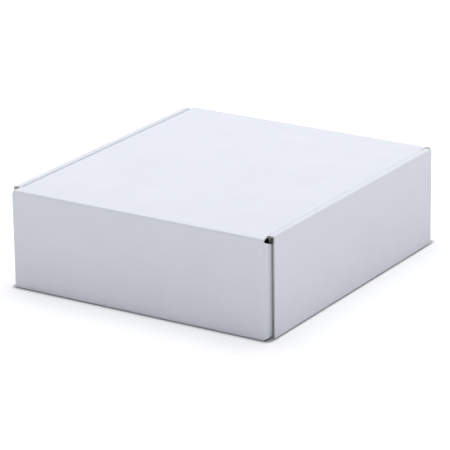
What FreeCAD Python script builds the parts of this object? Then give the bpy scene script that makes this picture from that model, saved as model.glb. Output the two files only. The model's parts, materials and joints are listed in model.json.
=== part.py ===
import FreeCAD, Part
import math
import os

# A roll-end mailer: one sheet of fine-flute corrugated board, folded up into a
# tray with rolled double side walls, and a hinged lid that tucks in at the front.
# Millimetres. X runs across the box, Y from the hinge panel to the front panel,
# Z up. The origin is the middle of the base, on the surface that it stands on.

# Outside sizes
length = 322.0          # hinge panel to front panel
width = 294.0           # over the two rolled side walls
height = 100.0          # base to the top of the closed lid

# The board and its folds
board = 1.6
crease_radius = 0.5     # inside radius of every fold
hinge_slit = 0.15       # between the two halves of the lid's fold

# Clearances between the layers of a side wall, and round the lid
ear_gap = 2.4           # side panel to the ear behind it
layer_gap = 0.2         # ear to inner panel, and every hanging edge to the base
lid_gap = 0.3           # lid and its flaps to the walls round them

# Rolled side walls
roll_rise = 0.8         # rolled top above the closed lid
wall_setback = 10.0     # cut ends of the wall, in from the end panels
shoulder_drop = 14.0    # where the inner panel widens again, below the rolled top
shoulder_width = 5.0    # how much wider it is there, at each end
corner_relief = 7.0     # how far it is cut back between the shoulder and the rolled top
relief_slant = 2.5      # how far that cut slants at its ends
tab_length = 46.0
tab_taper = 3.0
tab_spacing = 160.0     # between the middles of the two tabs of one wall
slot_gap = 0.2          # tab to slot, all round

# Ears, folded in from the end panels
ear_length = 62.0
ear_drop = 4.0          # top corner at the end panel, below the closed lid
ear_slant = 24.0        # how far the top edge comes down towards the tip
ear_taper = 8.0         # the same at the lower corners

# Front panel and lid flaps
front_drop = 1.4        # cut top edge of the front panel, below the lid's top
wing_depth = 66.0       # side flaps of the lid, from the lid's top
wing_taper = 24.0       # slant at the hinge end
wing_setback = 13.0     # from the end panels
tuck_depth = 42.0       # front flap of the lid, from the lid's top
tuck_taper = 9.0
tuck_inset = 3.0        # ends of the tuck fold, in from the lid's sides
flap_radius = 9.0       # rounded corners of the wings and the tuck flap
cut_radius = 3.0        # rounded corners of the ears and tabs

# Planes that follow from these sizes, each at its positive side
fold_radius = crease_radius + board
side_outer = width / 2
side_inner = side_outer - board
ear_outer = side_inner - ear_gap
ear_inner = ear_outer - board
inner_outer = ear_inner - layer_gap
inner_inner = inner_outer - board
lid_half = inner_inner - lid_gap
end_outer = length / 2
end_inner = end_outer - board
end_flat = ear_outer - fold_radius          # half width of an end panel, up to its folds
wall_half = end_outer - wall_setback
wall_top = height + roll_rise
ear_top = height - ear_drop
hanging_low = board + layer_gap             # lowest edge of what hangs over the base

# The lid turns about the outermost line of its fold
fold_y = -end_outer + fold_radius
fold_z = height - fold_radius
split_angle = 135.0
hinge_y = fold_y + fold_radius * math.cos(math.radians(split_angle))
hinge_z = fold_z + fold_radius * math.sin(math.radians(split_angle))

X = FreeCAD.Vector(1, 0, 0)
Y = FreeCAD.Vector(0, 1, 0)
Z = FreeCAD.Vector(0, 0, 1)


def point(x, y, z):
    return FreeCAD.Vector(x, y, z)


# A closed outline through corners (a, b, radius), laid in the plane of across
# and along. A corner with a radius becomes an arc.
def outline(corners, origin, across, along):
    places = [origin + across * a + along * b for a, b, radius in corners]
    edges = []
    ends = []
    for i, corner in enumerate(corners):
        here = places[i]
        back = (places[i - 1] - here).normalize()
        on = (places[(i + 1) % len(places)] - here).normalize()
        radius = corner[2]
        if radius == 0:
            ends.append((here, here))
            continue
        half_turn = back.getAngle(on) / 2
        reach = radius / math.tan(half_turn)
        towards_centre = (back + on).normalize()
        middle = here + towards_centre * (radius / math.sin(half_turn) - radius)
        start = here + back * reach
        end = here + on * reach
        edges.append(Part.Arc(start, middle, end).toShape())
        ends.append((start, end))
    for i in range(len(corners)):
        start = ends[i][1]
        end = ends[(i + 1) % len(ends)][0]
        edges.append(Part.makeLine(start, end))
    return Part.Wire(Part.__sortEdges__(edges))


# A flat panel of board: its outline lies on one face, and the board is behind it
# along inward.
def panel(corners, origin, across, along, inward):
    return Part.Face(outline(corners, origin, across, along)).extrude(inward * board)


# One fold: a sector of a tube round centre, between two angles counted from
# first towards second, as long as run.
def fold(centre, first, second, start, end, run):
    def at(radius, degrees):
        turn = math.radians(degrees)
        return centre + first * (radius * math.cos(turn)) + second * (radius * math.sin(turn))

    middle = (start + end) / 2
    outside = Part.Arc(at(fold_radius, start), at(fold_radius, middle), at(fold_radius, end))
    inside = Part.Arc(at(crease_radius, end), at(crease_radius, middle), at(crease_radius, start))
    section = Part.Wire([
        outside.toShape(),
        Part.makeLine(at(fold_radius, end), at(crease_radius, end)),
        inside.toShape(),
        Part.makeLine(at(crease_radius, start), at(fold_radius, start)),
    ])
    return Part.Face(section).extrude(run)


# Corners on the positive side, repeated in reverse on the negative side
def both_sides(corners):
    return corners + [(-a, b, radius) for a, b, radius in reversed(corners)]


def mirrored(shape, normal):
    return shape.mirror(point(0, 0, 0), normal)


def joined(shapes):
    whole = shapes[0].multiFuse(shapes[1:])
    return whole.removeSplitter()


# The base, with a slot for each tab of the side walls
def base_panel():
    side_flat = side_outer - fold_radius
    end_limit = end_outer - fold_radius
    corners = both_sides([
        (end_flat, -end_limit, 0),
        (end_flat, -wall_half, 0),
        (side_flat, -wall_half, 0),
        (side_flat, wall_half, 0),
        (end_flat, wall_half, 0),
        (end_flat, end_limit, 0),
    ])
    base = panel(corners, point(0, 0, 0), X, Y, Z)
    slots = []
    for across in (1, -1):
        for along in (1, -1):
            slot = Part.makeBox(
                board + 2 * slot_gap,
                tab_length + 2 * slot_gap,
                3 * board,
                point(
                    across * (inner_inner + inner_outer) / 2 - board / 2 - slot_gap,
                    along * tab_spacing / 2 - tab_length / 2 - slot_gap,
                    -board,
                ),
            )
            slots.append(slot)
    return base.cut(Part.makeCompound(slots))


# The tabbed lower edge of an inner side panel, from its front end to its back end
def tabbed_edge(half):
    corners = [(half, hanging_low, cut_radius)]
    for middle in (tab_spacing / 2, -tab_spacing / 2):
        root = tab_length / 2
        tip = root - tab_taper
        corners += [
            (middle + root, hanging_low, 0),
            (middle + root, board, 0),
            (middle + tip, 0, 0),
            (middle - tip, 0, 0),
            (middle - root, board, 0),
            (middle - root, hanging_low, 0),
        ]
    return corners + [(-half, hanging_low, cut_radius)]


# A rolled side wall: up from the base, over the top, and down again to the slots
def rolled_wall():
    run = Y * (2 * wall_half)
    start = -wall_half
    outer_axis = side_outer - fold_radius
    inner_axis = inner_inner + fold_radius
    top_axis = wall_top - fold_radius
    foot = fold(point(outer_axis, start, fold_radius), X, Z, -90, 0, run)
    side = panel(
        [(-wall_half, fold_radius, 0), (wall_half, fold_radius, 0),
         (wall_half, top_axis, 0), (-wall_half, top_axis, 0)],
        point(side_outer, 0, 0), Y, Z, -X)
    outer_roll = fold(point(outer_axis, start, top_axis), X, Z, 0, 90, run)
    crown = panel(
        [(inner_axis, -wall_half, 0), (outer_axis, -wall_half, 0),
         (outer_axis, wall_half, 0), (inner_axis, wall_half, 0)],
        point(0, 0, wall_top), X, Y, -Z)
    inner_roll = fold(point(inner_axis, start, top_axis), X, Z, 90, 180, run)
    wide = wall_half + shoulder_width
    narrow = wall_half - corner_relief
    shoulder = wall_top - shoulder_drop
    corners = tabbed_edge(wide) + [
        (-wide, shoulder, cut_radius),
        (-narrow, shoulder + relief_slant, 0),
        (-narrow, top_axis - relief_slant, 0),
        (-wall_half, top_axis, 0),
        (wall_half, top_axis, 0),
        (narrow, top_axis - relief_slant, 0),
        (narrow, shoulder + relief_slant, 0),
        (wide, shoulder, cut_radius),
    ]
    inner = panel(corners, point(inner_inner, 0, 0), Y, Z, X)
    return [foot, side, outer_roll, crown, inner_roll, inner]


# One ear and the upright fold that carries it, at the +X end of the +Y end panel
def ear():
    low = fold_radius + layer_gap
    corner = point(end_flat, end_outer - fold_radius, low)
    upright = fold(corner, X, Y, 0, 90, Z * (fold_z - low))
    root = end_outer - fold_radius
    tip = end_outer - ear_length
    corners = [
        (root, low, 0),
        (root, ear_top, 0),
        (tip, ear_top - ear_slant, cut_radius),
        (tip, low + ear_taper, cut_radius),
        (root - ear_taper, low, 0),
    ]
    leaf = panel(corners, point(ear_outer, 0, 0), Y, Z, -X)
    # the slanted relief that opens the corner under the lid
    far = ear_outer + fold_radius
    far_top = 2 * ear_top - fold_z
    slant = outline(
        [(end_flat, fold_z, 0), (far, far_top, 0), (far, wall_top, 0), (end_flat, wall_top, 0)],
        point(0, end_outer - ear_length / 2, 0), X, Z)
    relief = Part.Face(slant).extrude(Y * ear_length)
    return [upright.cut(relief), leaf.cut(relief)]


# An end panel at +Y, up from the base to its top, with its two ears
def end_wall(top):
    foot = fold(
        point(-end_flat, end_outer - fold_radius, fold_radius), Y, Z, -90, 0, X * (2 * end_flat))
    face = panel(
        [(-end_flat, fold_radius, 0), (end_flat, fold_radius, 0),
         (end_flat, top, 0), (-end_flat, top, 0)],
        point(0, end_outer, 0), X, Z, -Y)
    ears = ear()
    return [foot, face] + ears + [mirrored(shape, X) for shape in ears]


# The tray's half of the lid's fold
def hinge_fold():
    slit_angle = math.degrees(hinge_slit / fold_radius)
    return fold(
        point(-end_flat, fold_y, fold_z), Y, Z, split_angle + slit_angle, 180, X * (2 * end_flat))


def make_tray():
    wall = rolled_wall()
    hinge_panel = [mirrored(shape, Y) for shape in end_wall(fold_z)]
    shapes = [base_panel(), hinge_fold()]
    shapes += wall + [mirrored(shape, X) for shape in wall]
    shapes += end_wall(height - front_drop) + hinge_panel
    return joined(shapes)


# The lid's flat panel. Beside the wings it ends at their folds, and at its front
# corners it is cut back to the tuck fold.
def lid_panel():
    wing_flat = lid_half - fold_radius
    wing_end = end_outer - wing_setback
    front = end_inner - lid_gap - fold_radius
    tuck_half = lid_half - tuck_inset
    corners = both_sides([
        (end_flat, fold_y, 0),
        (lid_half, -wall_half, 0),
        (lid_half, -wing_end - layer_gap, 0),
        (wing_flat, -wing_end - layer_gap, 0),
        (wing_flat, wing_end + layer_gap, 0),
        (lid_half, wing_end + layer_gap, 0),
        (lid_half, front - tuck_inset, 0),
        (tuck_half, front, 0),
    ])
    return panel(corners, point(0, 0, height), X, Y, -Z)


# A side flap of the lid, which slides down inside the rolled wall
def wing():
    wing_end = end_outer - wing_setback
    axis = lid_half - fold_radius
    turn = fold(point(axis, -wing_end, fold_z), X, Z, 0, 90, Y * (2 * wing_end))
    low = height - wing_depth
    leaf = panel(
        [(-wing_end, fold_z, 0), (wing_end, fold_z, 0),
         (wing_end - wing_taper / 2, low, flap_radius),
         (-wing_end + wing_taper, low, flap_radius)],
        point(lid_half, 0, 0), Y, Z, -X)
    return [turn, leaf]


# How far the tuck flap leans inwards, in degrees, so that its lower edge swings
# clear of the front panel when the lid opens
def tuck_lean(axis_y, drop):
    reach = end_inner - lid_gap - hinge_y
    arm = math.hypot(axis_y - hinge_y, fold_z - hinge_z)
    flap = math.hypot(fold_radius, drop)
    arm_angle = math.atan2(fold_z - hinge_z, axis_y - hinge_y)
    flap_angle = math.atan2(drop, fold_radius)
    between = math.acos((reach ** 2 - arm ** 2 - flap ** 2) / (2 * arm * flap))
    return max(0.0, math.degrees(between - flap_angle - arm_angle))


# The lid's front flap
def tuck_flap():
    axis_y = end_inner - lid_gap - fold_radius
    drop = tuck_depth - fold_radius
    half = lid_half - tuck_inset
    lean = tuck_lean(axis_y, drop)
    turn = fold(point(-half, axis_y, fold_z), Y, Z, -lean, 90, X * (2 * half))
    slope = math.radians(lean)
    outward = Y * math.cos(slope) - Z * math.sin(slope)
    down = Y * -math.sin(slope) - Z * math.cos(slope)
    root = point(0, axis_y, fold_z) + outward * fold_radius
    corners = both_sides([(half, 0, 0), (half - tuck_taper, drop, flap_radius)])
    return [turn, panel(corners, root, X, down, -outward)]


def make_lid():
    turn = fold(point(-end_flat, fold_y, fold_z), Y, Z, 90, split_angle, X * (2 * end_flat))
    wings = wing()
    wings += [mirrored(shape, X) for shape in wings]
    return joined([lid_panel(), turn] + wings + tuck_flap())


def write(name, shape):
    print(name, "solids", len(shape.Solids), "valid", shape.isValid(), "volume", round(shape.Volume))
    shape.exportStep("parts/" + name + ".step")


os.makedirs("parts", exist_ok=True)
write("tray", make_tray())
write("lid", make_lid())
print("hinge line at y", round(hinge_y, 3), "z", round(hinge_z, 3))
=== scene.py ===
import json
import math

import bmesh
import bpy
from mathutils import Matrix, Vector
from mathutils.bvhtree import BVHTree
from mathutils.geometry import tessellate_polygon


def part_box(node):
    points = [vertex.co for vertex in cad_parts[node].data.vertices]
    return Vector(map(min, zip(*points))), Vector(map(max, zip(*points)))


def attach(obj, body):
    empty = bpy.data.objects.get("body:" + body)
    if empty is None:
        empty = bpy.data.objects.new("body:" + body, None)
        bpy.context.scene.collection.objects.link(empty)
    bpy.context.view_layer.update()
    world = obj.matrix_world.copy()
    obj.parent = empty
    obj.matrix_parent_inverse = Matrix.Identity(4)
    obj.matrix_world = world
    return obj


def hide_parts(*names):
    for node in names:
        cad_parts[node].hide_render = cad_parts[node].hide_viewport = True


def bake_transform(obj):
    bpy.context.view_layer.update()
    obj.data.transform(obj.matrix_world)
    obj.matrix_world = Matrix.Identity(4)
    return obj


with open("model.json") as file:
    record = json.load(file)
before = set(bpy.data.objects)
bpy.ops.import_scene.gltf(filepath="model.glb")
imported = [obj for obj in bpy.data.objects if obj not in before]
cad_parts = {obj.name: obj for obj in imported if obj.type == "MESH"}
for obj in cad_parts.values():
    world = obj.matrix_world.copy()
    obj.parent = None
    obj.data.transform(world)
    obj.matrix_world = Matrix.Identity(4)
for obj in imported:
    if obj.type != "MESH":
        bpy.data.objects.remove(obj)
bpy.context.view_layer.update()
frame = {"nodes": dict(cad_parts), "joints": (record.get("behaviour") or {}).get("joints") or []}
mm = 0.001
across, alongBox, up = Vector((1, 0, 0)), Vector((0, 1, 0)), Vector((0, 0, 1))
print("frame loaded:", sorted(frame["nodes"]))

# One sheet of board, in millimetres. The overall sizes come from the frame.
sheet = {
    "board": 1.6,           # fine-flute board
    "creaseRadius": 0.5,    # inside of every fold
    "foldSteps": 7,         # faces round a fold
    "earGap": 2.4,          # between the side wall and the ear inside it
    "layerGap": 0.2,        # between other layers that lie against each other
    "lidGap": 0.3,          # round the lid
    "wallSetback": 10.0,    # from the box's ends to the ends of the rolled walls
    "shoulderDrop": 14.0,   # the inner panels widen this far below the crown
    "shoulderWidth": 5.0,
    "cornerRelief": 7.0,    # cut back from their ends above that
    "reliefSlant": 2.5,
    "tabLength": 46.0,      # tabs that lock into the base
    "tabTaper": 3.0,
    "tabSpacing": 160.0,
    "slotGap": 0.2,
    "earLength": 62.0,      # ears of the end panels, folded in between the walls
    "earDrop": 4.0,
    "earSlant": 24.0,
    "earTaper": 8.0,
    "frontDrop": 1.4,       # the front panel stands this far below the lid's top
    "wingTaper": 24.0,      # the lid's two side wings
    "wingSetback": 13.0,
    "tuckDepth": 42.0,      # the flap that tucks in behind the front panel
    "tuckTaper": 9.0,
    "tuckInset": 3.0,
    "flapRadius": 9.0,      # rounded corners of wings and tuck flap
    "cutRadius": 3.0,       # rounded corners of ears and inner panels
    "roundSteps": 6,        # points round a cut corner
    "creaseReach": 2.0,     # how far the bending strip at the hinge runs past its fold
    "weld": 0.02,           # points closer than this are one
    "match": 0.1,           # how near a point lies to a line that it is on
}

trayLow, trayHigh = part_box("tray")
lidLow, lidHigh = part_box("lid")
hinge = Vector(frame["joints"][0]["pos_m"])

board = sheet["board"] * mm
foldRadius = board + sheet["creaseRadius"] * mm
sideOuter = trayHigh.x
endOuter = trayHigh.y
wallTop = trayHigh.z
lidTop = lidHigh.z
earOuter = sideOuter - board - sheet["earGap"] * mm
innerOuter = earOuter - board - sheet["layerGap"] * mm
innerInner = innerOuter - board
lidHalf = innerInner - sheet["lidGap"] * mm
endInner = endOuter - board
endFlat = earOuter - foldRadius
wallHalf = endOuter - sheet["wallSetback"] * mm
earTop = lidTop - sheet["earDrop"] * mm
foldY = -endOuter + foldRadius
foldZ = lidTop - foldRadius
creaseLow = foldZ - sheet["creaseReach"] * mm       # where the tray's own mesh ends, under the hinge
creaseFront = foldY + sheet["creaseReach"] * mm     # where the lid's own mesh starts
noArea = 1e-6 * mm ** 2     # a triangle with less than this is only a line


# A corner list (a, b, radius) turned into points, rounded corners as arcs
def roundedPoints(corners):
    points = []
    for i, (a, b, radius) in enumerate(corners):
        here = Vector((a, b))
        if radius == 0:
            points.append(here)
            continue
        back = (Vector(corners[i - 1][:2]) - here).normalized()
        on = (Vector(corners[(i + 1) % len(corners)][:2]) - here).normalized()
        halfTurn = back.angle(on) / 2
        centre = here + (back + on).normalized() * (radius / math.sin(halfTurn))
        start = here + back * (radius / math.tan(halfTurn)) - centre
        sweep = start.angle_signed(here + on * (radius / math.tan(halfTurn)) - centre)
        for step in range(sheet["roundSteps"] + 1):
            turn = -sweep * step / sheet["roundSteps"]
            points.append(centre + Matrix.Rotation(turn, 2) @ start)
    return points


# Corners on the +X side, with their mirror images after them
def bothSides(corners):
    return corners + [(-a, b, radius) for a, b, radius in reversed(corners)]


# The outer side of the folded sheet: points with their normals, and faces whose
# corners carry a place across the flutes. The flutes run along the hinge in the
# flat sheet, so they are level on the end panels and ears, and upright on the sides.
class Skin:
    def __init__(self):
        self.points, self.normals, self.faces, self.acrosses = [], [], [], []
        self.index = {}

    def vertex(self, place, normal):
        key = tuple(round(value / (sheet["weld"] * mm)) for value in place)
        if key not in self.index:
            self.index[key] = len(self.points)
            self.points.append(place.copy())
            self.normals.append(normal.copy())
        return self.index[key]

    # a face that goes round the way its normals ask; one without any area stays as given
    def face(self, places, normals, acrosses):
        corners, kept = [], []
        for place, normal, value in zip(places, normals, acrosses):
            corner = self.vertex(place, normal)
            if corner not in corners:
                corners.append(corner)
                kept.append(value)
        if len(corners) < 3:
            return
        a, b, c = [self.points[i] for i in corners[:3]]
        facing = sum((self.normals[i] for i in corners), Vector())
        if (b - a).cross(c - a).dot(facing) < -noArea:
            corners.reverse()
            kept.reverse()
        self.faces.append(corners)
        self.acrosses.append(kept)

    # a flat panel with any holes, its triangles all turned the same way
    def panel(self, corners, origin, first, second, normal, flute, holes=()):
        loops = [roundedPoints(corners)] + [roundedPoints(hole) for hole in holes]
        flat = [point for loop in loops for point in loop]
        places = [origin + first * point.x + second * point.y for point in flat]
        sideways = normal.cross(flute)
        triangles = [[places[i] for i in triangle] for triangle in
                     tessellate_polygon([[point.to_3d() for point in loop] for loop in loops])]
        facing = sum((b - a).cross(c - a).dot(normal) for a, b, c in triangles)
        for here in triangles:
            if facing < 0:
                here.reverse()
            self.face(here, [normal] * 3, [place.dot(sideways) for place in here])

    # a fold: rows of points round an axis, from one angle to another, between a
    # near and a far end that may depend on the place; the flutes go round it or along it
    def fold(self, centre, first, second, start, end, axis, near, far, flutesRound=True):
        steps = max(2, round(sheet["foldSteps"] * abs(end - start) / 90))
        rows = []
        for step in range(steps + 1):
            turn = math.radians(start + (end - start) * step / steps)
            outward = first * math.cos(turn) + second * math.sin(turn)
            place = centre + outward * foldRadius
            ends = place + axis * near(place), place + axis * far(place)
            reach = [point.dot(axis) if flutesRound else foldRadius * turn for point in ends]
            rows.append((*ends, outward, *reach))
        for (a, b, n, s, t), (c, d, m, u, v) in zip(rows, rows[1:]):
            self.face([a, b, d, c], [n, n, m, m], [s, t, v, u])

    def mirrored(self, axis):
        turned = Skin()
        for corners, acrosses in zip(self.faces, self.acrosses):
            places = [flipped(self.points[i], axis) for i in reversed(corners)]
            normals = [flipped(self.normals[i], axis) for i in reversed(corners)]
            turned.face(places, normals, acrosses[::-1])
        return turned

    def add(self, other):
        for corners, acrosses in zip(other.faces, other.acrosses):
            self.face([other.points[i] for i in corners], [other.normals[i] for i in corners], acrosses)

    # edges that belong to one face: their two points, in the order in which that
    # face goes round, with their places across the flutes
    def rims(self):
        seen = {}
        for corners, acrosses in zip(self.faces, self.acrosses):
            for i, a in enumerate(corners):
                j = (i + 1) % len(corners)
                b = corners[j]
                seen.setdefault(frozenset((a, b)), []).append((a, b, acrosses[i], acrosses[j]))
        return [uses[0] for uses in seen.values() if len(uses) == 1]


def flipped(vector, axis):
    turned = vector.copy()
    turned[axis] = -turned[axis]
    return turned


# The tray's half of the sheet
def traySkin():
    size = {key: value * mm for key, value in sheet.items()}
    hangingLow = board + size["layerGap"]
    sideFlat = sideOuter - foldRadius
    endLimit = endOuter - foldRadius
    topAxis = wallTop - foldRadius
    innerAxis = innerInner + foldRadius
    skin = Skin()

    slots = []
    halfSlot = board / 2 + size["slotGap"]
    for sideways in (1, -1):
        for lengthways in (1, -1):
            x = sideways * (innerInner + innerOuter) / 2
            y = lengthways * size["tabSpacing"] / 2
            reach = size["tabLength"] / 2 + size["slotGap"]
            slots.append([(x - halfSlot, y - reach, 0), (x - halfSlot, y + reach, 0),
                          (x + halfSlot, y + reach, 0), (x + halfSlot, y - reach, 0)])
    skin.panel(
        bothSides([(endFlat, -endLimit, 0), (endFlat, -wallHalf, 0), (sideFlat, -wallHalf, 0),
                   (sideFlat, wallHalf, 0), (endFlat, wallHalf, 0), (endFlat, endLimit, 0)]),
        Vector((0, 0, trayLow.z)), across, alongBox, -up, across, slots)

    wall = Skin()
    near, far = (lambda place: -wallHalf), (lambda place: wallHalf)
    sideways = Vector((sideFlat, 0, 0))
    wall.fold(sideways + up * foldRadius, across, up, -90, 0, alongBox, near, far)
    wall.panel([(-wallHalf, foldRadius, 0), (wallHalf, foldRadius, 0),
                (wallHalf, topAxis, 0), (-wallHalf, topAxis, 0)],
               across * sideOuter, alongBox, up, across, up)
    wall.fold(sideways + up * topAxis, across, up, 0, 90, alongBox, near, far)
    wall.panel([(innerAxis, -wallHalf, 0), (sideFlat, -wallHalf, 0),
                (sideFlat, wallHalf, 0), (innerAxis, wallHalf, 0)],
               up * wallTop, across, alongBox, up, across)
    wall.fold(across * innerAxis + up * topAxis, across, up, 90, 180, alongBox, near, far)
    wide = wallHalf + size["shoulderWidth"]
    narrow = wallHalf - size["cornerRelief"]
    shoulder = wallTop - size["shoulderDrop"]
    corners = [(wide, hangingLow, size["cutRadius"])]
    for middle in (size["tabSpacing"] / 2, -size["tabSpacing"] / 2):
        root = size["tabLength"] / 2
        tip = root - size["tabTaper"]
        corners += [(middle + root, hangingLow, 0), (middle + root, board, 0), (middle + tip, 0, 0),
                    (middle - tip, 0, 0), (middle - root, board, 0), (middle - root, hangingLow, 0)]
    corners += [(-wide, hangingLow, size["cutRadius"]), (-wide, shoulder, size["cutRadius"]),
                (-narrow, shoulder + size["reliefSlant"], 0), (-narrow, topAxis - size["reliefSlant"], 0),
                (-wallHalf, topAxis, 0), (wallHalf, topAxis, 0), (narrow, topAxis - size["reliefSlant"], 0),
                (narrow, shoulder + size["reliefSlant"], 0), (wide, shoulder, size["cutRadius"])]
    wall.panel(corners, across * innerInner, alongBox, up, -across, up)
    skin.add(wall)
    skin.add(wall.mirrored(0))

    frontPanel = endPanel(size, lidTop - size["frontDrop"])
    hingePanel = endPanel(size, creaseLow)
    skin.add(frontPanel)
    skin.add(hingePanel.mirrored(1))
    return skin


# The end panel at +Y with its two ears, up to a given height
def endPanel(size, top):
    low = foldRadius + size["layerGap"]
    endLimit = endOuter - foldRadius
    skin = Skin()
    skin.fold(alongBox * endLimit + up * foldRadius, alongBox, up, -90, 0, across,
              lambda place: -endFlat, lambda place: endFlat, False)
    side = [(endFlat, foldRadius, 0), (endFlat, low, 0), (endFlat, min(top, earTop), 0)]
    if top > foldZ:
        side += [(endFlat, foldZ, 0), (endFlat, top, 0)]
    skin.panel(bothSides(side), alongBox * endOuter, across, up, alongBox, across)

    # the fold's top slants down towards the ear, which opens the corner under the lid
    slope = (earTop - foldZ) / foldRadius

    def slantedTop(place):
        return foldZ + slope * (place.x - endFlat)

    # where a fold's edge carries a point part way up, so that the pieces beside it meet
    middle = min(top, earTop)

    ear = Skin()
    axis = across * endFlat + alongBox * endLimit
    ear.fold(axis, across, alongBox, 0, 90, up, lambda place: low, lambda place: middle)
    ear.fold(axis, across, alongBox, 0, 90, up, lambda place: middle, slantedTop)
    tip = endOuter - size["earLength"]
    ear.panel([(endLimit, low, 0), (endLimit, middle, 0), (endLimit, earTop, 0),
               (tip, earTop - size["earSlant"], size["cutRadius"]),
               (tip, low + size["earTaper"], size["cutRadius"]), (endLimit - size["earTaper"], low, 0)],
              across * earOuter, alongBox, up, across, alongBox)
    skin.add(ear)
    skin.add(ear.mirrored(0))
    return skin


# Half the lid's width where its own mesh starts, on the slant to its full width
def halfAtCrease():
    share = (creaseFront - foldY) / (-wallHalf - foldY)
    return endFlat + (lidHalf - endFlat) * share


# The lid's half of the sheet
def lidSkin():
    size = {key: value * mm for key, value in sheet.items()}
    wingFlat = lidHalf - foldRadius
    wingEnd = endOuter - size["wingSetback"]
    relief = wingEnd + size["layerGap"]
    front = endInner - size["lidGap"] - foldRadius
    tuckHalf = lidHalf - size["tuckInset"]
    skin = Skin()
    skin.panel(
        bothSides([(halfAtCrease(), creaseFront, 0), (lidHalf, -wallHalf, 0),
                   (lidHalf, -relief, 0), (wingFlat, -relief, 0), (wingFlat, -wingEnd, 0),
                   (wingFlat, wingEnd, 0), (wingFlat, relief, 0), (lidHalf, relief, 0),
                   (lidHalf, front - size["tuckInset"], 0), (tuckHalf, front, 0)]),
        up * lidTop, across, alongBox, up, across)

    wing = Skin()
    wing.fold(across * wingFlat + up * foldZ, across, up, 0, 90, alongBox,
              lambda place: -wingEnd, lambda place: wingEnd)
    wing.panel([(-wingEnd, foldZ, 0), (wingEnd, foldZ, 0),
                (wingEnd - size["wingTaper"] / 2, lidLow.z, size["flapRadius"]),
                (-wingEnd + size["wingTaper"], lidLow.z, size["flapRadius"])],
               across * lidHalf, alongBox, up, across, up)
    skin.add(wing)
    skin.add(wing.mirrored(0))

    drop = size["tuckDepth"] - foldRadius
    lean = tuckLean(front, drop)
    skin.fold(alongBox * front + up * foldZ, alongBox, up, -math.degrees(lean), 90, across,
              lambda place: -tuckHalf, lambda place: tuckHalf, False)
    outward = alongBox * math.cos(lean) - up * math.sin(lean)
    down = -alongBox * math.sin(lean) - up * math.cos(lean)
    root = alongBox * front + up * foldZ + outward * foldRadius
    skin.panel(bothSides([(tuckHalf, 0, 0), (tuckHalf - size["tuckTaper"], drop, size["flapRadius"])]),
               root, across, down, outward, across)
    return skin


# The tuck flap leans inwards by the angle that lets its edge swing past the front panel
def tuckLean(axisY, drop):
    reach = endInner - sheet["lidGap"] * mm - hinge.y
    arm = math.hypot(axisY - hinge.y, foldZ - hinge.z)
    flap = math.hypot(foldRadius, drop)
    between = math.acos((reach ** 2 - arm ** 2 - flap ** 2) / (2 * arm * flap))
    return max(0.0, between - math.atan2(drop, foldRadius) - math.atan2(foldZ - hinge.z, axisY - hinge.y))


# The strip that bends at the hinge, with a little of the panel on each side
def hingeSkin():
    skin = Skin()
    skin.panel(bothSides([(endFlat, creaseLow, 0), (endFlat, foldZ, 0)]),
               -alongBox * endOuter, across, up, -alongBox, across)
    skin.fold(alongBox * foldY + up * foldZ, alongBox, up, 90, 180, across,
              lambda place: -endFlat, lambda place: endFlat, False)
    skin.panel(bothSides([(endFlat, foldY, 0), (halfAtCrease(), creaseFront, 0)]),
               up * lidTop, across, alongBox, up, across)
    return skin


# Closed layers of a skin, each between two depths below its surface, as one object
def layered(name, skin, layers):
    points, faces, normals, acrosses, slots = [], [], [], [], []
    count = len(skin.points)
    for slot, (nearDepth, farDepth, material) in enumerate(layers):
        base = len(points)
        for depth in (nearDepth, farDepth):
            points += [place - normal * depth for place, normal in zip(skin.points, skin.normals)]
        for corners, values in zip(skin.faces, skin.acrosses):
            faces.append([base + i for i in corners])
            normals += [skin.normals[i] for i in corners]
            faces.append([base + count + i for i in reversed(corners)])
            normals += [-skin.normals[i] for i in reversed(corners)]
            acrosses += values + values[::-1]
            slots += [slot] * 2
        for a, b, s, t in skin.rims():
            rim = [base + i for i in (b, a, a + count, b + count)]
            p, q, r = [points[i] for i in rim[:3]]
            faces.append(rim)
            normals += [(q - p).cross(r - q).normalized()] * 4
            acrosses += [t, s, s, t]
            slots.append(slot)
    mesh = bpy.data.meshes.new(name)
    mesh.from_pydata(points, [], faces)
    mesh.update()
    mesh.shade_smooth()
    mesh.normals_split_custom_set(normals)
    mesh.attributes.new("acrossFlutes", "FLOAT", "CORNER").data.foreach_set("value", acrosses)
    mesh.polygons.foreach_set("material_index", slots)
    for nearDepth, farDepth, material in layers:
        mesh.materials.append(material)
    return linked(name, mesh)


def linked(name, mesh):
    piece = bpy.data.objects.new(name, mesh)
    bpy.context.scene.collection.objects.link(piece)
    return piece


# An sRGB hex colour as linear values
def linear(hexColour):
    values = [int(hexColour[i:i + 2], 16) / 255 for i in (1, 3, 5)]
    return [v / 12.92 if v <= 0.04045 else ((v + 0.055) / 1.055) ** 2.4 for v in values] + [1.0]


# A node with its settings, which are its own or an input's, and the sockets linked to its inputs
def node(tree, kind, settings=None, links=None):
    made = tree.nodes.new(kind)
    for key, value in (settings or {}).items():
        if isinstance(key, str) and hasattr(made, key):
            setattr(made, key, value)
        else:
            made.inputs[key].default_value = value
    for key, sources in (links or {}).items():
        for source in sources if isinstance(sources, list) else [sources]:
            tree.links.new(source, made.inputs[key])
    return made


def newMaterial(name):
    material = bpy.data.materials.new(name)
    material.use_nodes = True
    material.node_tree.nodes.clear()
    return material, material.node_tree


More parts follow.
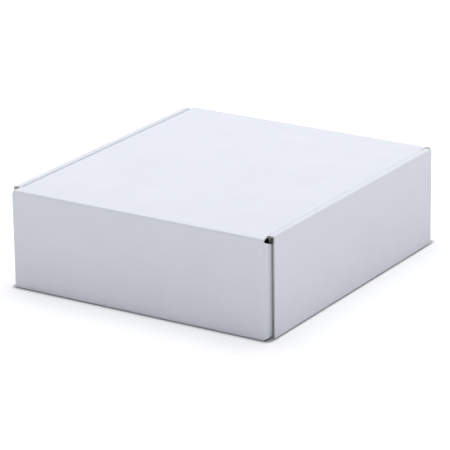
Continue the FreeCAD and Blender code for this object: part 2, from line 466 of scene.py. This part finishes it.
# Colours as sRGB, sizes in millimetres
paper = {
    "liner": "#ECEFF7",         # clay-coated outer liner, a cool white
    "linerShade": "#E4E7F1",    # its faintly darker clouds
    "inside": "#E7E7E7",        # uncoated inner liner, warmer and greyer
    "insideShade": "#DDDDDC",
    "medium": "#E4E4E3",        # the fluted sheet between them
    "mediumShade": "#D8D8D6",
    "linerRoughness": 0.55,
    "insideRoughness": 0.8,
    "mediumRoughness": 0.9,
    "cloudSize": 42.0,
    "fibreSize": 0.8,           # drawn coarser than real fibre, so that it shows
    "fibreHeight": 0.006,
    "washboard": 0.010,         # how far the flutes stand out through a liner
    "linerThickness": 0.25,
    "flutePitch": 3.3,
    "fluteSheet": 0.22,         # thickness of the medium
    "fluteDepth": 5.0,          # how far it is modelled in from an open edge
    "crushedDepth": 1.2,        # how far an edge that runs with the flutes is pressed shut
    "depthStep": 0.5,           # steps in which that depth is cut short near a fold
    "openShare": 0.4,           # an edge that runs across the flutes for this share of its length shows them
    "probeShares": (0.02, 0.5, 0.98),   # where along an edge the room behind it is measured
    "fluteStep": 0.4,           # points along a waving edge
    "edgeInset": 0.12,          # cut flutes stand back a little between the liners
    "fluteWeld": 0.001,
}


# A paper surface: soft clouds of colour, fibres, and the washboard of the flutes
def paperMaterial(name, colour, shade, roughness, washboard):
    material, tree = newMaterial(name)
    place = node(tree, "ShaderNodeTexCoord").outputs["Object"]
    clouds = node(tree, "ShaderNodeTexNoise", {"Scale": 1 / (paper["cloudSize"] * mm), "Detail": 3.0},
                  {"Vector": place})
    tint = node(tree, "ShaderNodeMix", {"data_type": "RGBA", 6: linear(colour), 7: linear(shade)},
                {"Factor": clouds.outputs["Fac"]})
    fibre = node(tree, "ShaderNodeTexNoise", {"Scale": 1 / (paper["fibreSize"] * mm), "Detail": 4.0},
                 {"Vector": place})
    bump = node(tree, "ShaderNodeBump", {"Strength": 1.0, "Distance": paper["fibreHeight"] * mm},
                {"Height": fibre.outputs["Fac"]})
    if washboard:
        acrossFlutes = node(tree, "ShaderNodeAttribute", {"attribute_name": "acrossFlutes"}).outputs["Fac"]
        perMetre = 2 * math.pi / (paper["flutePitch"] * mm)
        turns = node(tree, "ShaderNodeMath", {"operation": "MULTIPLY", 1: perMetre}, {0: acrossFlutes})
        wave = node(tree, "ShaderNodeMath", {"operation": "SINE"}, {0: turns.outputs[0]})
        bump = node(tree, "ShaderNodeBump", {"Strength": 1.0, "Distance": paper["washboard"] * mm},
                    {"Height": wave.outputs[0], "Normal": bump.outputs["Normal"]})
    surface = node(tree, "ShaderNodeBsdfPrincipled", {"Roughness": roughness},
                   {"Base Color": tint.outputs[2], "Normal": bump.outputs["Normal"]})
    node(tree, "ShaderNodeOutputMaterial", {}, {"Surface": surface.outputs["BSDF"]})
    return material


# Clay-coated white top liner: smooth, satin, the flutes just showing through
topLiner = paperMaterial("clayCoatedWhiteLiner", paper["liner"], paper["linerShade"],
                         paper["linerRoughness"], True)
# Uncoated white inner liner: matt and a little warmer
innerLiner = paperMaterial("uncoatedWhiteLiner", paper["inside"], paper["insideShade"],
                           paper["insideRoughness"], True)
# Fluting medium: grey-white, rough, seen only at the cut edges
medium = paperMaterial("flutingMedium", paper["medium"], paper["mediumShade"],
                       paper["mediumRoughness"], False)
print("materials made")


# How far the board runs straight in from a place on its edge, up to a limit
def straightDepth(surface, place, inward, limit):
    step = paper["depthStep"] * mm
    reach = 0.0
    while reach + step <= limit:
        distance = surface.find_nearest(place + inward * (reach + step))[3]
        if abs(distance - board / 2) > sheet["match"] * mm:
            break
        reach += step
    return reach


# The cut edges of a skin as loose edges with what the flutes need to know
def cutEdges(name, skin, isSeam):
    surface = BVHTree.FromPolygons(skin.points, skin.faces)
    points, edges = [], []
    values = {"acrossFlutes": [], "openFlutes": [], "edgeDepth": [], "boardNormal": [], "inward": []}
    for a, b, s, t in skin.rims():
        start, end = skin.points[a], skin.points[b]
        if isSeam(start) and isSeam(end):
            continue
        run = end - start
        inward = skin.normals[a].cross(run).normalized()
        isOpen = abs(t - s) > run.length * paper["openShare"]
        inset = inward * (paper["edgeInset"] * mm)
        ends = [place - skin.normals[i] * (board / 2) + inset for place, i in ((start, a), (end, b))]
        limit = (paper["fluteDepth"] if isOpen else paper["crushedDepth"]) * mm
        probes = [ends[0].lerp(ends[1], share) for share in paper["probeShares"]]
        depth = min(straightDepth(surface, probe, inward, limit) for probe in probes)
        if depth == 0:
            continue
        for place, i, value in zip(ends, (a, b), (s, t)):
            points.append(place)
            values["acrossFlutes"].append(value)
            values["openFlutes"].append(float(isOpen))
            values["edgeDepth"].append(depth)
            values["boardNormal"].extend(skin.normals[i])
            values["inward"].extend(inward)
        edges.append((len(points) - 2, len(points) - 1))
    mesh = bpy.data.meshes.new(name)
    mesh.from_pydata(points, edges, [])
    for key, data in values.items():
        isVector = len(data) > len(points)
        attribute = mesh.attributes.new(key, "FLOAT_VECTOR" if isVector else "FLOAT", "POINT")
        attribute.data.foreach_set("vector" if isVector else "value", data)
    return linked(name, mesh)


# Sizes of the flute tree's inputs, in metres
fluteSizes = {
    "Pitch": paper["flutePitch"] * mm,
    "Wave Height": board - 2 * paper["linerThickness"] * mm - paper["fluteSheet"] * mm,
    "Core": board - 2 * paper["linerThickness"] * mm,
    "Sheet": paper["fluteSheet"] * mm,
    "Step": paper["fluteStep"] * mm,
}


# A tree that lays a ribbon of medium along every cut edge, waving between the
# liners where the cut crosses the flutes and pressed flat where it runs with them
def fluteTree():
    tree = bpy.data.node_groups.new("cutFlutes", "GeometryNodeTree")
    tree.interface.new_socket("Geometry", in_out="INPUT", socket_type="NodeSocketGeometry")
    for key in fluteSizes:
        tree.interface.new_socket(key, in_out="INPUT", socket_type="NodeSocketFloat")
    tree.interface.new_socket("Material", in_out="INPUT", socket_type="NodeSocketMaterial")
    tree.interface.new_socket("Geometry", in_out="OUTPUT", socket_type="NodeSocketGeometry")
    given = node(tree, "NodeGroupInput").outputs
    at = {}
    for key, kind in (("acrossFlutes", "FLOAT"), ("openFlutes", "FLOAT"), ("edgeDepth", "FLOAT"),
                      ("boardNormal", "FLOAT_VECTOR"), ("inward", "FLOAT_VECTOR")):
        stored = node(tree, "GeometryNodeInputNamedAttribute", {"data_type": kind, "Name": key})
        at[key] = stored.outputs["Attribute"]

    # only the edges that cut the flutes open get the fine steps of a wave
    sides = node(tree, "GeometryNodeSeparateGeometry", {"domain": "POINT"},
                 {"Geometry": given["Geometry"], "Selection": at["openFlutes"]})
    curve = node(tree, "GeometryNodeMeshToCurve", {}, {"Mesh": sides.outputs["Selection"]})
    fine = node(tree, "GeometryNodeResampleCurve", {"mode": "LENGTH"},
                {"Curve": curve.outputs["Curve"], "Length": given["Step"]})
    line = node(tree, "GeometryNodeCurveToMesh", {}, {"Curve": fine.outputs["Curve"]})
    lines = node(tree, "GeometryNodeJoinGeometry", {},
                 {"Geometry": [sides.outputs["Inverted"], line.outputs["Mesh"]]})

    # the wave's height above the middle of the board, less half the sheet's own thickness
    turns = node(tree, "ShaderNodeMath", {"operation": "DIVIDE"}, {0: at["acrossFlutes"], 1: given["Pitch"]})
    angle = node(tree, "ShaderNodeMath", {"operation": "MULTIPLY", 1: 2 * math.pi}, {0: turns.outputs[0]})
    wave = node(tree, "ShaderNodeMath", {"operation": "SINE"}, {0: angle.outputs[0]})
    height = node(tree, "ShaderNodeMath", {"operation": "MULTIPLY"},
                  {0: wave.outputs[0], 1: given["Wave Height"]})
    swing = node(tree, "ShaderNodeMath", {"operation": "MULTIPLY", 1: 0.5}, {0: height.outputs[0]})
    shown = node(tree, "ShaderNodeMath", {"operation": "MULTIPLY"},
                 {0: swing.outputs[0], 1: at["openFlutes"]})
    thickness = node(tree, "ShaderNodeMix", {"data_type": "FLOAT"},
                     {"Factor": at["openFlutes"], 2: given["Core"], 3: given["Sheet"]}).outputs[0]
    half = node(tree, "ShaderNodeMath", {"operation": "MULTIPLY", 1: 0.5}, {0: thickness})
    level = node(tree, "ShaderNodeMath", {"operation": "SUBTRACT"}, {0: shown.outputs[0], 1: half.outputs[0]})
    lift = node(tree, "ShaderNodeVectorMath", {"operation": "SCALE"},
                {"Vector": at["boardNormal"], "Scale": level.outputs[0]})
    waved = node(tree, "GeometryNodeSetPosition", {},
                 {"Geometry": lines.outputs["Geometry"], "Offset": lift.outputs["Vector"]})

    # the ribbon's run into the board, then its two faces and its narrow sides
    depth = node(tree, "ShaderNodeVectorMath", {"operation": "SCALE"},
                 {"Vector": at["inward"], "Scale": at["edgeDepth"]})
    ribbon = node(tree, "GeometryNodeExtrudeMesh", {"mode": "EDGES", "Offset Scale": 1.0},
                  {"Mesh": waved.outputs["Geometry"], "Offset": depth.outputs["Vector"]})
    rise = node(tree, "ShaderNodeVectorMath", {"operation": "SCALE"},
                {"Vector": at["boardNormal"], "Scale": thickness})
    body = node(tree, "GeometryNodeExtrudeMesh", {"mode": "FACES", "Individual": False},
                {"Mesh": ribbon.outputs["Mesh"], "Offset": rise.outputs["Vector"]})
    under = node(tree, "GeometryNodeFlipFaces", {}, {"Mesh": ribbon.outputs["Mesh"]})
    both = node(tree, "GeometryNodeJoinGeometry", {},
                {"Geometry": [under.outputs["Mesh"], body.outputs["Mesh"]]})
    closed = node(tree, "GeometryNodeMergeByDistance", {"Distance": paper["fluteWeld"] * mm},
                  {"Geometry": both.outputs["Geometry"]})
    plain = node(tree, "GeometryNodeRealizeInstances", {}, {"Geometry": closed.outputs["Geometry"]})
    painted = node(tree, "GeometryNodeSetMaterial", {},
                   {"Geometry": plain.outputs["Geometry"], "Material": given["Material"]})
    node(tree, "NodeGroupOutput", {}, {"Geometry": painted.outputs["Geometry"]})
    return tree


# The fluted sheet along a skin's cut edges, as one plain mesh
def fluteRibbons(name, skin, isSeam, tree):
    source = cutEdges(name, skin, isSeam)
    modifier = source.modifiers.new("flutes", "NODES")
    modifier.node_group = tree
    sizes = dict(fluteSizes, Material=medium)
    for item in tree.interface.items_tree:
        if item.in_out == "INPUT" and item.name in sizes:
            modifier[item.identifier] = sizes[item.name]
    evaluated = source.evaluated_get(bpy.context.evaluated_depsgraph_get())
    mesh = bpy.data.meshes.new_from_object(evaluated)
    source.modifiers.remove(modifier)
    source.data = mesh
    # the tree leaves an empty slot before its own
    mesh.materials.clear()
    mesh.materials.append(medium)
    faceOutwards(mesh)
    return source


def faceOutwards(mesh):
    shape = bmesh.new()
    shape.from_mesh(mesh)
    bmesh.ops.recalc_face_normals(shape, faces=shape.faces)
    shape.to_mesh(mesh)
    shape.free()


# Where the tray's sheet goes on into the bending strip: under it and at its two ends
def atTraySeam(place):
    near = sheet["match"] * mm
    isUnder = abs(place.z - creaseLow) < near
    isBeside = abs(abs(place.x) - endFlat) < near and place.z > creaseLow
    return (isUnder or isBeside) and place.y < -endInner


# Where the lid's sheet goes on into the bending strip
def atLidSeam(place):
    return abs(place.y - creaseFront) < sheet["match"] * mm


linerDepth = paper["linerThickness"] * mm
outside, core, inside = (0.0, linerDepth), (linerDepth, board - linerDepth), (board - linerDepth, board)
twoLiners = [(*outside, topLiner), (*inside, innerLiner)]
traySheet, lidSheet = traySkin(), lidSkin()
trayLiners = layered("trayLiners", traySheet, twoLiners)
lidLiners = layered("lidLiners", lidSheet, twoLiners)
# the creased strip at the hinge has its flutes crushed solid
hingeStrip = layered("hingeCrease", hingeSkin(),
                     [(*outside, topLiner), (*core, medium), (*inside, innerLiner)])
print("sheets folded:", len(traySheet.faces), len(lidSheet.faces), "faces")

flutes = fluteTree()
trayFlutes = fluteRibbons("trayFlutes", traySheet, atTraySeam, flutes)
lidFlutes = fluteRibbons("lidFlutes", lidSheet, atLidSeam, flutes)
print("flutes cut:", len(trayFlutes.data.polygons), len(lidFlutes.data.polygons), "faces")

for piece, name in ((trayLiners, "tray"), (lidLiners, "lid")):
    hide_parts(name)
for piece, name in ((trayLiners, "tray"), (trayFlutes, "tray"), (lidLiners, "lid"), (lidFlutes, "lid")):
    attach(piece, name)
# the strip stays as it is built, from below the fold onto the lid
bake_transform(hingeStrip)
print("pieces bound")

# The studio: a white table that glows a little as painted light, under one large soft box; distances in
# metres
studio = {
    "sky": 0.11,            # what reaches the box from all round
    "skyColour": (0.92, 0.95, 1.0, 1.0),
    "floorColour": "#DFDFE0",
    "floorGlow": 0.41,      # painted light: the table glows, though it is no lamp, and lights the box's sides from below
    "glowFull": 1.5,        # painted contact shadow: the glow starts one setback out, at the box's edge, and is full at this many
    "farGlow": 0.55,        # more painted glow added further off, for a white background
    "farStart": 0.03,       # from here on, measured from the box
    "farFull": 0.60,
    "floorSize": 40.0,
    "floorDrop": 0.00005,   # a hair under the base, so that the two share no plane
    "lamps": {              # place, point aimed at, width and height in metres, watts
        "overheadBox": ((-0.15, 0.40, 2.2), (0.0, 0.0, 0.05), 2.8, 2.8, 61.0),
    },
}


# A soft cool light from all round, which the camera and reflections see as plain white
def studioWorld():
    world = bpy.data.worlds.new("studio")
    bpy.context.scene.world = world
    world.use_nodes = True
    tree = world.node_tree
    tree.nodes.clear()
    path = node(tree, "ShaderNodeLightPath")
    seen = node(tree, "ShaderNodeMath", {"operation": "MAXIMUM"},
                {0: path.outputs["Is Camera Ray"], 1: path.outputs["Is Glossy Ray"]})
    lit = node(tree, "ShaderNodeBackground", {"Color": studio["skyColour"], "Strength": studio["sky"]})
    white = node(tree, "ShaderNodeBackground", {"Color": (1, 1, 1, 1), "Strength": 1.0})
    mix = node(tree, "ShaderNodeMixShader", {}, {0: seen.outputs[0], 1: lit.outputs[0], 2: white.outputs[0]})
    node(tree, "ShaderNodeOutputWorld", {}, {"Surface": mix.outputs[0]})


# Matt white sweep that glows as painted light: none under the box, rising from its edge as a painted contact
# shadow, and more glow further off
def floorMaterial():
    material, tree = newMaterial("whiteSweepPaintedGlow")
    matt = node(tree, "ShaderNodeBsdfDiffuse", {"Color": linear(studio["floorColour"])})
    place = node(tree, "ShaderNodeTexCoord").outputs["Object"]
    folded = node(tree, "ShaderNodeVectorMath", {"operation": "ABSOLUTE"}, {0: place})
    # how far a place lies outside the rectangle inside the cut-back corners, in metres and in setbacks
    past = node(tree, "ShaderNodeVectorMath", {"operation": "SUBTRACT", 1: (earOuter, wallHalf, 0)},
                {0: folded.outputs[0]})
    beyond = node(tree, "ShaderNodeVectorMath", {"operation": "MAXIMUM", 1: (0, 0, 0)}, {0: past.outputs[0]})
    setbacks = (sideOuter - earOuter, endOuter - wallHalf, 1)
    shares = node(tree, "ShaderNodeVectorMath", {"operation": "DIVIDE", 1: setbacks}, {0: beyond.outputs[0]})
    near = node(tree, "ShaderNodeVectorMath", {"operation": "LENGTH"}, {0: shares.outputs[0]})
    away = node(tree, "ShaderNodeVectorMath", {"operation": "LENGTH"}, {0: beyond.outputs[0]})
    # painted contact shadow: the glow is zero up to the box's edge and rises to full a little way out
    glow = node(tree, "ShaderNodeMapRange", {"From Min": 1.0, "From Max": studio["glowFull"],
                                             "To Max": studio["floorGlow"]}, {"Value": near.outputs["Value"]})
    # painted light that grows with distance from the box
    far = node(tree, "ShaderNodeMapRange", {"From Min": studio["farStart"], "From Max": studio["farFull"],
                                            "To Max": studio["farGlow"]}, {"Value": away.outputs["Value"]})
    total = node(tree, "ShaderNodeMath", {"operation": "ADD"},
                 {0: glow.outputs["Result"], 1: far.outputs["Result"]})
    light = node(tree, "ShaderNodeEmission", {}, {"Strength": total.outputs[0]})
    both = node(tree, "ShaderNodeAddShader", {}, {0: matt.outputs[0], 1: light.outputs[0]})
    node(tree, "ShaderNodeOutputMaterial", {}, {"Surface": both.outputs[0]})
    return material


def studioFloor():
    half, low = studio["floorSize"] / 2, -studio["floorDrop"]
    corners = [(-half, -half, low), (half, -half, low), (half, half, low), (-half, half, low)]
    mesh = bpy.data.meshes.new("floor")
    mesh.from_pydata(corners, [], [(0, 1, 2, 3)])
    mesh.materials.append(floorMaterial())
    floor = bpy.data.objects.new("floor", mesh)
    bpy.context.scene.collection.objects.link(floor)


def softBoxes():
    for name, (place, aim, width, height, watts) in studio["lamps"].items():
        lamp = bpy.data.lights.new(name, "AREA")
        lamp.shape = "RECTANGLE"
        lamp.size, lamp.size_y = width, height
        lamp.energy = watts
        box = bpy.data.objects.new(name, lamp)
        bpy.context.scene.collection.objects.link(box)
        box.location = place
        box.rotation_euler = (Vector(aim) - Vector(place)).to_track_quat("-Z", "Y").to_euler()


# The photograph's camera: a long lens, a little rolled
view = {
    "place": (1.37656, -2.17475, 0.94117),
    "azimuth": 32.373,
    "elevation": 19.286,
    "roll": -0.754,
    "focalPixels": 2758.4,
    "imagePixels": 450,
    "sensorWidth": 36.0,    # millimetres
    "reach": 100.0,
}


def photoCamera():
    camera = bpy.data.cameras.new("photoCamera")
    camera.sensor_width = view["sensorWidth"]
    camera.lens = view["focalPixels"] / view["imagePixels"] * camera.sensor_width
    camera.clip_end = view["reach"]
    seat = bpy.data.objects.new("photoCamera", camera)
    bpy.context.scene.collection.objects.link(seat)
    turn, lift = math.radians(view["azimuth"]), math.radians(view["elevation"])
    back = Vector((math.sin(turn) * math.cos(lift), -math.cos(turn) * math.cos(lift), math.sin(lift)))
    right = (-back).cross(up).normalized()
    top = right.cross(-back)
    roll = math.radians(view["roll"])
    rolledRight = right * math.cos(roll) + top * math.sin(roll)
    rolledTop = top * math.cos(roll) - right * math.sin(roll)
    seat.matrix_world = Matrix((
        (rolledRight.x, rolledTop.x, back.x, view["place"][0]),
        (rolledRight.y, rolledTop.y, back.y, view["place"][1]),
        (rolledRight.z, rolledTop.z, back.z, view["place"][2]),
        (0, 0, 0, 1)))
    bpy.context.scene.camera = seat


studioWorld()
studioFloor()
softBoxes()
photoCamera()
bpy.context.scene.view_settings.view_transform = "Standard"
print("studio ready")
